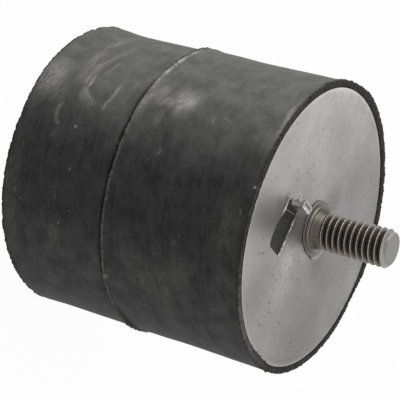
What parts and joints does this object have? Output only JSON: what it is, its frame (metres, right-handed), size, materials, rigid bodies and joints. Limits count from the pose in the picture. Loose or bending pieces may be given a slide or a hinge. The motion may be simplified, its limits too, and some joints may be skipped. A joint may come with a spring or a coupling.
{
  "type": "engine mount",
  "caption": "Cylindrical rubber engine mount with steel end plates, a threaded stud and a bent locating tab on one end and a blind thread in the other.",
  "frame": {"origin": "centre of the base end's flat face, on the mount's axis", "axes": "+Z along the mount's axis from the base to the stud, -Y towards the locating tab's side"},
  "size_m": [0.0746, 0.0746, 0.0888],
  "materials": {
    "black_rubber": "moulded natural rubber, satin, with bloom and scuffs",
    "plate_steel": "bare cold-rolled sheet, dull, blasted",
    "stud_steel": "bare rolled thread, dull, oiled"
  },
  "bodies": {
    "root": {"rubber_body": "black_rubber", "stud_plate": "plate_steel", "stud": "stud_steel", "base_plate": "plate_steel", "base_insert": "stud_steel"}
  },
  "joints": []
}
